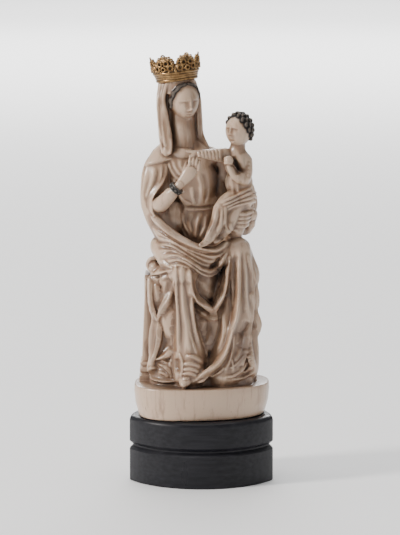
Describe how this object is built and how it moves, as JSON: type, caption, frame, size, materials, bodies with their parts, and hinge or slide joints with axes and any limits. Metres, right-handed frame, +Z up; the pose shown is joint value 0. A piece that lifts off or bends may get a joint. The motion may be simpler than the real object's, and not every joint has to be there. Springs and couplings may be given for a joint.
{
  "type": "ivory madonna and child figure",
  "caption": "Carved ivory figure of a crowned seated mother with a child on her knee, on an oval ivory base and a grooved black wood plinth",
  "frame": {"origin": "centre of the plinth's underside", "axes": "+Z up, the figure looks towards -Y, +X to the right as the viewer sees it"},
  "size_m": [0.0868, 0.065, 0.2591],
  "materials": {
    "ivory": null,
    "black_wood": "ebonised and waxed to a satin sheen",
    "gilt_metal": "worn gilding, dark in the hollows",
    "dark_metal": "dark and tarnished"
  },
  "bodies": {
    "root": {"ivory_figure": "ivory", "plinth": "black_wood", "crown": "gilt_metal", "wrist_band": "dark_metal"}
  },
  "joints": []
}
